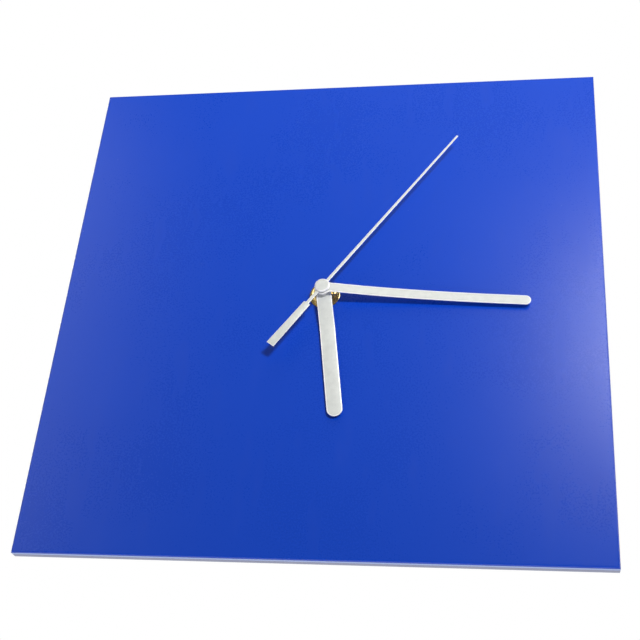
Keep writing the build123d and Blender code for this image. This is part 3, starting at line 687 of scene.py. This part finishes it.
secondShape = {
    "angle": 35.3, "length": 115.0, "rootWidth": 1.6, "tipWidth": 1.0, "thickness": 0.3, "eyeRadius": 1.4,
    "bevelWidth": 0.2, "bevelDepth": 0.12,
    "hubRadius": 3.0, "hubSteps": 24, "neckWidth": 1.7, "neckEnd": 12.2, "shoulder": 0.3,
    "tailLength": 41.0, "tailInner": 3.8, "tailOuter": 4.4,
}


def secondHand(shape):
    hub = shape["hubRadius"]
    neck = shape["neckWidth"] / 2
    root = shape["rootWidth"] / 2
    hubStart = -90 + degrees(asin(neck / hub))
    hubEnd = 90 - degrees(asin(root / hub))
    right = [(shape["tailOuter"] / 2, -shape["tailLength"]), (shape["tailInner"] / 2, -shape["neckEnd"])]
    right += [(neck, shape["shoulder"] - shape["neckEnd"])]
    right += arc((0, 0), hub, hubStart, hubEnd, shape["hubSteps"])
    right.append((shape["tipWidth"] / 2, shape["length"]))
    top = topOf("second_hand")
    return blade("secondHandBlade", shape, right, lambda along: top)


fit(hourHand(hourShape), "hour_hand_pipe", "hand_aluminium", "hour_hand")
fit(minuteHand(minuteShape), "minute_hand_pipe", "hand_aluminium", "minute_hand")
fit(secondHand(secondShape), "second_hand_arbor", "hand_aluminium", "second_hand")
print("hands made")


capShape = {
    "bevelWidth": 0.62, "bevelDepth": 0.42, "lip": 0.06, "stemRadius": 1.4, "boreRadius": 0.5,
    "boreTaper": 0.01,
}


def secondCap(shape):
    node = "second_hand_cap"
    radius = sizeOf(node).x / mm / 2
    top, foot, underside = topOf(node), footOf(node), topOf("second_hand")
    boreTop = topOf("second_arbor")
    wall = top - shape["bevelDepth"]
    face = radius - shape["bevelWidth"]
    lip, stem, bore = shape["lip"], shape["stemRadius"], shape["boreRadius"]
    profile = [
        (bore - shape["boreTaper"], boreTop), (bore, foot), (stem, foot), (stem, underside),
        (radius - lip, underside), (radius, underside + lip), (radius, wall - lip), (radius - lip, wall),
        (face, top), (face - lip, top),
    ]
    rings = [circle(r, h, faceOn) for r, h in profile]
    # painted highlight: the lighter edge colour from the underside's lip to the face
    bands = [silver] * 4 + [bright] * 4 + [silver]
    return skin("secondHandCap", rings, ("handFace", "handEdgePaintedHighlight"), bands=bands)


fit(secondCap(capShape), "second_hand_arbor", "hand_aluminium", "second_hand_cap")


threadShape = {
    "pitch": 0.75, "depth": 0.38, "stepsPerTurn": 8, "lead": 0.5, "bore": 2.6, "flangeHeight": 0.9,
}


# the bush: a plain flange inside the case, and a thread that runs out at the top
def threadedBush(shape):
    node = "threaded_bush"
    foot, top = footOf(node), topOf(node)
    flange = sizeOf(node).x / mm / 2
    flangeTop = foot + shape["flangeHeight"]
    bore = shape["bore"]
    rings = [circle(bore, foot, faceOn), circle(flange, foot, faceOn), circle(flange, flangeTop, faceOn)]
    steps = int((top - flangeTop) / shape["pitch"] * shape["stepsPerTurn"])
    for k in range(steps + 1):
        height = flangeTop + (top - flangeTop) * k / steps
        runOut = max(0.0, (height - top + shape["lead"]) / shape["lead"]) * shape["depth"]

        def radiusAt(turn):
            phase = (height / shape["pitch"] - turn / (2 * pi)) % 1
            return bushRadius - max(runOut, shape["depth"] * abs(2 * phase - 1))

        rings.append(circle(0, height, faceOn, radiusAt=radiusAt))
    rings.append(circle(bore, top, faceOn))
    return skin("bushThread", rings, ("brass",), ends="joined")


washerShape = {"bevel": 0.14, "boreBevel": 0.1, "boreClearance": 0.05}


def brassWasher(shape):
    node = "brass_washer"
    radius = sizeOf(node).x / mm / 2
    foot, top = footOf(node), topOf(node)
    bore = bushRadius + shape["boreClearance"]
    bevel, boreBevel = shape["bevel"], shape["boreBevel"]
    profile = [
        (bore, foot + boreBevel), (bore + boreBevel, foot), (radius - bevel, foot), (radius, foot + bevel),
        (radius, top - bevel), (radius - bevel, top), (bore + boreBevel, top), (bore, top - boreBevel),
    ]
    rings = [circle(r, h, faceOn) for r, h in profile]
    return skin("washerRing", rings, ("brass",), ends="joined")


nutShape = {
    "coneSlope": 0.50, "coneRadius": 5.75, "boreBevel": 0.45, "footBevel": 0.12, "boreClearance": 0.02,
}


# six flats whose corners a cone cuts back, so each flat ends in a curve
def hexNut(shape):
    node = "hex_nut"
    foot, top = footOf(node), topOf(node)
    flat = sizeOf(node).z / mm / 2
    bore = bushRadius + shape["boreClearance"]

    def hexRadius(turn, across=flat):
        sixth = pi / 3
        return across / cos(turn % sixth - sixth / 2)

    def coneTop(turn):
        return top - max(0.0, hexRadius(turn) - shape["coneRadius"]) * shape["coneSlope"]

    lean = shape["footBevel"]
    rings = [
        circle(bore, foot, faceOn),
        circle(0, foot, faceOn, radiusAt=lambda turn: hexRadius(turn, flat - lean)),
        circle(0, foot + lean, faceOn, radiusAt=hexRadius),
        circle(0, top, faceOn, radiusAt=hexRadius, heightAt=coneTop),
        circle(shape["coneRadius"], top, faceOn),
        circle(bore + shape["boreBevel"], top, faceOn),
        circle(bore, top - shape["boreBevel"], faceOn),
    ]
    return skin("nutBody", rings, ("brass",), ends="joined")


fit(threadedBush(threadShape), "clock_body", "brass", "threaded_bush")
fit(brassWasher(washerShape), "clock_body", "brass", "brass_washer")
fit(hexNut(nutShape), "clock_body", "brass", "hex_nut")
print("cap, bush, washer and nut made")


# a place on the back, from its row position and its depth from the wall, in millimetres
def onBack(x, z, depth):
    return Vector((x, -depth, z)) * mm


def boxOf(node):
    low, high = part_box(node)
    return low / mm, high / mm


# a straight-sided solid from an outline on the back, between two depths
def prism(name, outline, near, far):
    rings = [[onBack(x, z, depth) for x, z in outline] for depth in (near, far)]
    return skin(name, rings, ("case",))


# a prism that cuts into the back from just outside it
def pocket(name, outline, depth):
    return prism(name, outline, -cutOvershoot, depth)


def shifted(outline, x, z):
    return [(x + px, z + pz) for px, pz in outline]


def oblong(width, height, corner=0.0, steps=6):
    x, z = width / 2, height / 2
    if not corner:
        return [(-x, -z), (x, -z), (x, z), (-x, z)]
    points = []
    for quarter, (sideX, sideZ) in enumerate(((1, 1), (-1, 1), (-1, -1), (1, -1))):
        centre = (sideX * (x - corner), sideZ * (z - corner))
        points += arc(centre, corner, 90 * quarter, 90 * quarter + 90, steps)
    return points


def disc(radius, points):
    return arc((0, 0), radius, 0, 360 - 360 / points, points - 1)


# a groove that follows an outline, as a solid to cut with
def groove(outer, inner, depth):
    rings = []
    for outline, level in ((outer, -cutOvershoot), (outer, depth), (inner, depth), (inner, -cutOvershoot)):
        rings.append([onBack(x, z, level) for x, z in outline])
    return skin("groove", rings, ("case",), ends="joined")


markShape = {"length": 4.6, "stroke": 1.0, "depth": 0.4}


def minusSign(shape):
    return oblong(shape["length"], shape["stroke"])


# one arm's end and the notch beside it, four times round
def plusSign(shape):
    reach, waist = shape["length"] / 2, shape["stroke"] / 2
    points = []
    for quarter in range(4):
        across, up = cos(-pi / 2 * quarter), sin(-pi / 2 * quarter)
        for x, z in ((reach, waist), (reach, -waist), (waist, -waist)):
            points.append((across * x - up * z, up * x + across * z))
    return points


arrowShape = {
    "radius": 9.4, "stroke": 0.8, "start": 35, "end": 128, "headLength": 13, "headWidth": 2.6, "steps": 24,
}


# an arrow bent round a knob, its head at the anticlockwise end
def bentArrow(shape):
    radius, start, end, steps = shape["radius"], shape["start"], shape["end"], shape["steps"]
    halfStroke, halfHead = shape["stroke"] / 2, shape["headWidth"] / 2
    points = arc((0, 0), radius + halfStroke, start, end, steps)
    points.append(polar((0, 0), radius + halfHead, end))
    points.append(polar((0, 0), radius, end + shape["headLength"]))
    points.append(polar((0, 0), radius - halfHead, end))
    return points + arc((0, 0), radius - halfStroke, end, start, steps)


# the flat faces stay flat beside rounded ones
def flatten(piece):
    weighted = piece.modifiers.new("flatten", "WEIGHTED_NORMAL")
    weighted.weight = 100
    weighted.keep_sharp = True


def soften(piece, width):
    bevel = piece.modifiers.new("soften", "BEVEL")
    bevel.width = width * mm
    bevel.segments = 1
    bevel.limit_method = "ANGLE"
    bevel.angle_limit = radians(softenAngle)
    settle(piece)
    flatten(piece)


coverShape = {
    "frameInset": 2.4, "frameWidth": 0.7, "frameCorner": 1.6, "frameDepth": 0.4,
    "pinRadius": 1.5, "pinDepth": 0.12, "pinInset": 6.6, "pinPoints": 24,
    "wheelRadius": 3.0, "wheelAt": (17.0, -28.5), "wheelLine": 0.3, "wheelPoints": 45, "wheelDepth": 0.25,
    "panel": (20.0, 8.5, 0.8), "panelAt": (10.5, -14.6), "panelDepth": 0.25,
    "bevel": 0.2,
}


def rearCover(shape, tongues):
    low, high = boxOf("rear_cover")
    plateTop = boxOf("front_case")[1].z
    plateMiddle = (low.z + plateTop) / 2
    width, height = high.x - low.x, plateTop - low.z
    knob = middleOf("setting_knob") / mm
    piece = recast("coverShell", "rear_cover")
    frames = []
    for extra in (0.0, 2 * shape["frameWidth"]):
        reach = 2 * shape["frameInset"] + extra
        corner = shape["frameCorner"] + shape["frameWidth"] - extra / 2
        frames.append(shifted(oblong(width - reach, height - reach, corner), 0, plateMiddle))
    cutters = [groove(*frames, shape["frameDepth"])]
    left, right = low.x + shape["pinInset"], high.x - shape["pinInset"]
    for outline, x in ((plusSign(markShape), right), (minusSign(markShape), left)):
        cutters.append(pocket("sign", shifted(outline, x, low.z + shape["pinInset"]), markShape["depth"]))
    cutters.append(pocket("arrow", shifted(bentArrow(arrowShape), knob.x, knob.z), markShape["depth"]))
    panel = shifted(oblong(*shape["panel"]), *shape["panelAt"])
    cutters.append(pocket("panel", panel, shape["panelDepth"]))
    for x in (left, right):
        pin = shifted(disc(shape["pinRadius"], shape["pinPoints"]), x, plateTop - shape["pinInset"])
        cutters.append(pocket("pin", pin, shape["pinDepth"]))
    # the moulder's date wheel: two rings, one inside the other
    for radius in (shape["wheelRadius"], shape["wheelRadius"] / 2):
        outer = shifted(disc(radius, shape["wheelPoints"]), *shape["wheelAt"])
        inner = shifted(disc(radius - shape["wheelLine"], shape["wheelPoints"]), *shape["wheelAt"])
        cutters.append(groove(outer, inner, shape["wheelDepth"]))
    carve(piece, cutters)
    carve(piece, tongues, "UNION")
    soften(piece, shape["bevel"])
    return piece


clipShape = {
    "length": 7.0, "height": 2.2, "depth": 0.55, "near": 3.0, "rise": (-14.0, -38.0),
    "tongueThickness": 0.35, "tongueSunk": 0.175, "tongueCorner": 0.12, "gap": 0.5, "nearGap": 0.1,
    "bevel": 0.25,
}


# the case with its snap windows, and the cover's tongues in them
def frontCase(shape):
    low, high = boxOf("front_case")
    piece = recast("caseShell", "front_case")
    near, far = shape["near"], shape["near"] + shape["height"]
    thickness = shape["tongueThickness"]
    cutters = []
    tongues = []
    for edge, side in ((low.x, 1), (high.x, -1)):
        for z in shape["rise"]:
            window = shifted(oblong(2 * shape["depth"], shape["length"]), edge, z)
            cutters.append(prism("window", window, near, far))
            tongue = oblong(thickness, shape["length"] - 2 * shape["gap"], shape["tongueCorner"])
            tongue = shifted(tongue, edge + side * (shape["tongueSunk"] + thickness / 2), z)
            tongues.append(prism("tongue", tongue, near + shape["nearGap"], far - shape["gap"]))
    carve(piece, cutters)
    soften(piece, shape["bevel"])
    return piece, tongues


knobShape = {
    "flutes": 20, "fluteDepth": 0.45, "edge": 0.3, "dish": 4.7, "dishDepth": 0.8, "socket": 1.0,
    "socketDepth": 1.05, "barWidth": 1.8, "barCorner": 0.3, "barSunk": 0.1, "barFoot": 0.2,
    "slices": 160, "bevel": 0.08,
}


def settingKnob(shape):
    middle = middleOf("setting_knob") / mm
    low, high = boxOf("setting_knob")
    radius = (high.x - low.x) / 2
    front, back = -low.y, -high.y
    edge, dish, socket = shape["edge"], shape["dish"], shape["socket"]
    dishFloor = back + shape["dishDepth"]

    def onKnob(x, z, depth):
        return onBack(middle.x + x, middle.z + z, depth)

    def plainRing(reach, depth):
        return circle(reach, depth, onKnob, shape["slices"])

    def flutedRing(reach, depth):
        def radiusAt(turn):
            return reach - shape["fluteDepth"] * max(0.0, cos(shape["flutes"] * turn)) ** 2

        return circle(0, depth, onKnob, shape["slices"], radiusAt)

    rings = [
        plainRing(socket, front - shape["socketDepth"]), plainRing(socket, front),
        flutedRing(radius - edge, front), flutedRing(radius, front - edge),
        flutedRing(radius, back + edge), flutedRing(radius - edge, back),
        plainRing(dish + edge, back), plainRing(dish, back + edge), plainRing(dish - edge, dishFloor),
    ]
    piece = skin("settingKnobBody", rings, ("knob",))
    outline = oblong(2 * dish + edge, shape["barWidth"], shape["barCorner"])
    depths = (back + shape["barSunk"], dishFloor + shape["barFoot"])
    bar = skin("bar", [[onKnob(x, z, depth) for x, z in outline] for depth in depths], ("knob",))
    carve(piece, [bar], "UNION")
    soften(piece, shape["bevel"])
    return piece


# the sleeve's folds give how far each ring is inside the sleeve's radius, and how far from its end
cellShape = {
    "footRadius": 4.9, "footRing": 1.2, "footStep": 0.3, "footDish": 0.25,
    "footFold": ((0.70, 0.15), (0.35, 0.22), (0.08, 0.50), (0.0, 0.70)),
    "capFold": ((0.0, 0.70), (0.08, 0.40), (0.35, 0.10), (0.85, 0.02)),
    "capRadius": 5.4, "capSunk": 0.25, "sealRadius": 4.2, "sealSunk": 0.35,
    "nubRadius": 2.75, "nubHeight": 1.3, "nubEdge": 0.35, "nubFoot": 0.25, "nubSunk": 0.3,
    "nubRound": 0.105,
}


def batteryCell(shape):
    low, high = boxOf("battery")
    radius = (high.z - low.z) / 2
    length = high.x - low.x
    cap = length - shape["nubHeight"]
    middle = (low + high) / 2
    foot, nub, edge, rounding = shape["footRadius"], shape["nubRadius"], shape["nubEdge"], shape["nubRound"]
    sleeve, nickel, resin = 0, 1, 2

    def onCell(across, up, along):
        return Vector((low.x + along, middle.y + across, middle.z + up)) * mm

    # each ring's radius, its place along the cell, and the finish of the band that starts there
    profile = [(foot - shape["footRing"], 0.0, nickel), (foot, 0.0, nickel)]
    profile.append((foot + shape["footStep"], shape["footDish"], sleeve))
    profile += [(radius - inside, along, sleeve) for inside, along in shape["footFold"]]
    profile += [(radius - inside, cap - along, sleeve) for inside, along in shape["capFold"]]
    profile += [
        (shape["capRadius"], cap - shape["capSunk"], resin),
        (shape["sealRadius"], cap - shape["sealSunk"], nickel),
        (nub + shape["nubFoot"], cap - shape["nubSunk"], nickel),
        (nub, cap, nickel), (nub, length - edge, nickel),
        (nub - rounding, length - rounding, nickel), (nub - edge, length, nickel),
    ]
    rings = [circle(r, along, onCell) for r, along, band in profile]
    bands = [band for r, along, band in profile[:-1]]
    return skin("batteryCell", rings, ("sleeve", "nickel", "resin"), bands=bands)


caseShell, coverTongues = frontCase(clipShape)
fit(caseShell, "clock_body", "case_plastic", "front_case")
fit(rearCover(coverShape, coverTongues), "clock_body", "case_plastic", "rear_cover")
fit(settingKnob(knobShape), "setting_arbor", "case_plastic", "setting_knob")
fit(batteryCell(cellShape), "clock_body", "battery_wrap", "battery")
print("case, cover, knob and cell made")


cameraSetup = {
    "offset": (0.09445, -0.49337, -0.30182),
    "aim": (-0.00141, 0.0, -0.01461),
    "roll": 5.03,
    "lens": 64.29,
    "sensor": 36.0,
    "nearClip": 0.01,
}


def addCamera(setup):
    camera = bpy.data.cameras.new("clockCamera")
    camera.lens = setup["lens"]
    camera.sensor_width = setup["sensor"]
    camera.clip_start = setup["nearClip"]
    holder = bpy.data.objects.new("clockCamera", camera)
    bpy.context.scene.collection.objects.link(holder)
    place = dialCentre + Vector(setup["offset"])
    aim = dialCentre + Vector(setup["aim"])
    look = (aim - place).to_track_quat("-Z", "Y").to_matrix().to_4x4()
    holder.matrix_world = Matrix.Translation(place) @ look @ Matrix.Rotation(radians(setup["roll"]), 4, "Z")
    bpy.context.scene.camera = holder


addCamera(cameraSetup)

# Each light's place from the middle of the dial, its size and its power. It is turned to the dial, or by
# "rise" to a place above it, so that it falls off downwards. A light unseen by glossy rays makes no
# highlight, and one unseen by diffuse rays makes nothing else.
lights = {
    "keyRight": {
        "at": (0.42, -0.95, 0.10), "size": (0.22, 0.22), "watts": 19.0, "unseenBy": "glossy", "rise": 1.7,
    },
    "sheenRight": {"at": (0.30, -0.95, 0.50), "size": (0.14, 0.26), "watts": 2.4, "unseenBy": "diffuse"},
    "sheenLeft": {"at": (-0.74, -0.90, 0.48), "size": (0.30, 0.90), "watts": 2.2, "unseenBy": "diffuse"},
    "overhead": {"at": (0.05, -0.32, 0.66), "size": (0.50, 0.50), "watts": 1.6, "unseenBy": "glossy"},
    "rimRight": {"at": (0.90, -0.25, 0.35), "size": (0.30, 0.60), "watts": 5.0, "unseenBy": "diffuse"},
    "under": {"at": (0.0, -0.08, -0.85), "size": (1.2, 1.2), "watts": 6.5},
    "behind": {"at": (-0.5, 1.0, 0.5), "size": (1.0, 1.0), "watts": 20.0},
}


def addLights(setups):
    for name, setup in setups.items():
        lamp = bpy.data.lights.new(name, "AREA")
        lamp.shape = "RECTANGLE"
        lamp.size, lamp.size_y = setup["size"]
        lamp.energy = setup["watts"]
        holder = bpy.data.objects.new(name, lamp)
        bpy.context.scene.collection.objects.link(holder)
        place = dialCentre + Vector(setup["at"])
        target = dialCentre + Vector((0, 0, setup.get("rise", 0)))
        aim = (target - place).to_track_quat("-Z", "Y").to_matrix().to_4x4()
        holder.matrix_world = Matrix.Translation(place) @ aim
        holder.visible_glossy = setup.get("unseenBy") != "glossy"
        holder.visible_diffuse = setup.get("unseenBy") != "diffuse"


addLights(lights)

stageLook = {
    "floorDepth": 1.0, "floorSize": 20.0, "floor": (0.90, 0.90, 0.90), "floorShade": (0.87, 0.87, 0.87),
    "cloudSize": 0.15, "roughness": 0.8, "glow": 0.90, "white": (1, 1, 1), "sky": 0.13,
}


def addStage(look):
    finish = Finish("paleFloor", Roughness=look["roughness"], Emission_Strength=look["glow"])
    pale = finish.blend(finish.noise(look["cloudSize"]), look["floor"], look["floorShade"])
    finish.feed("Base_Color", pale)
    finish.feed("Emission_Color", pale)
    materials["floor"] = finish.material
    half = look["floorSize"]
    z = dialCentre.z - look["floorDepth"]
    corners = [(-half, -half, z), (half, -half, z), (half, half, z), (-half, half, z)]
    floor = newPiece("floor", corners, [(0, 1, 2, 3)], ("floor",))
    floor.visible_diffuse = False
    floor.visible_glossy = False
    # a white backdrop to the eye, and a softer light on the object
    world = bpy.data.worlds.new("whiteStudio")
    bpy.context.scene.world = world
    world.use_nodes = True
    world.node_tree.nodes.clear()
    work = NodeWork(world.node_tree)
    seen = work.node("ShaderNodeLightPath", output="Is Camera Ray")
    soft = work.node("ShaderNodeBackground", {}, {"Color": look["white"], "Strength": look["sky"]})
    white = work.node("ShaderNodeBackground", {}, {"Color": look["white"]})
    backdrop = work.node("ShaderNodeMixShader", {}, {0: seen, 1: soft, 2: white})
    work.node("ShaderNodeOutputWorld", {}, {"Surface": backdrop})


addStage(stageLook)
bpy.context.scene.view_settings.view_transform = "Standard"
print("stage and camera set")
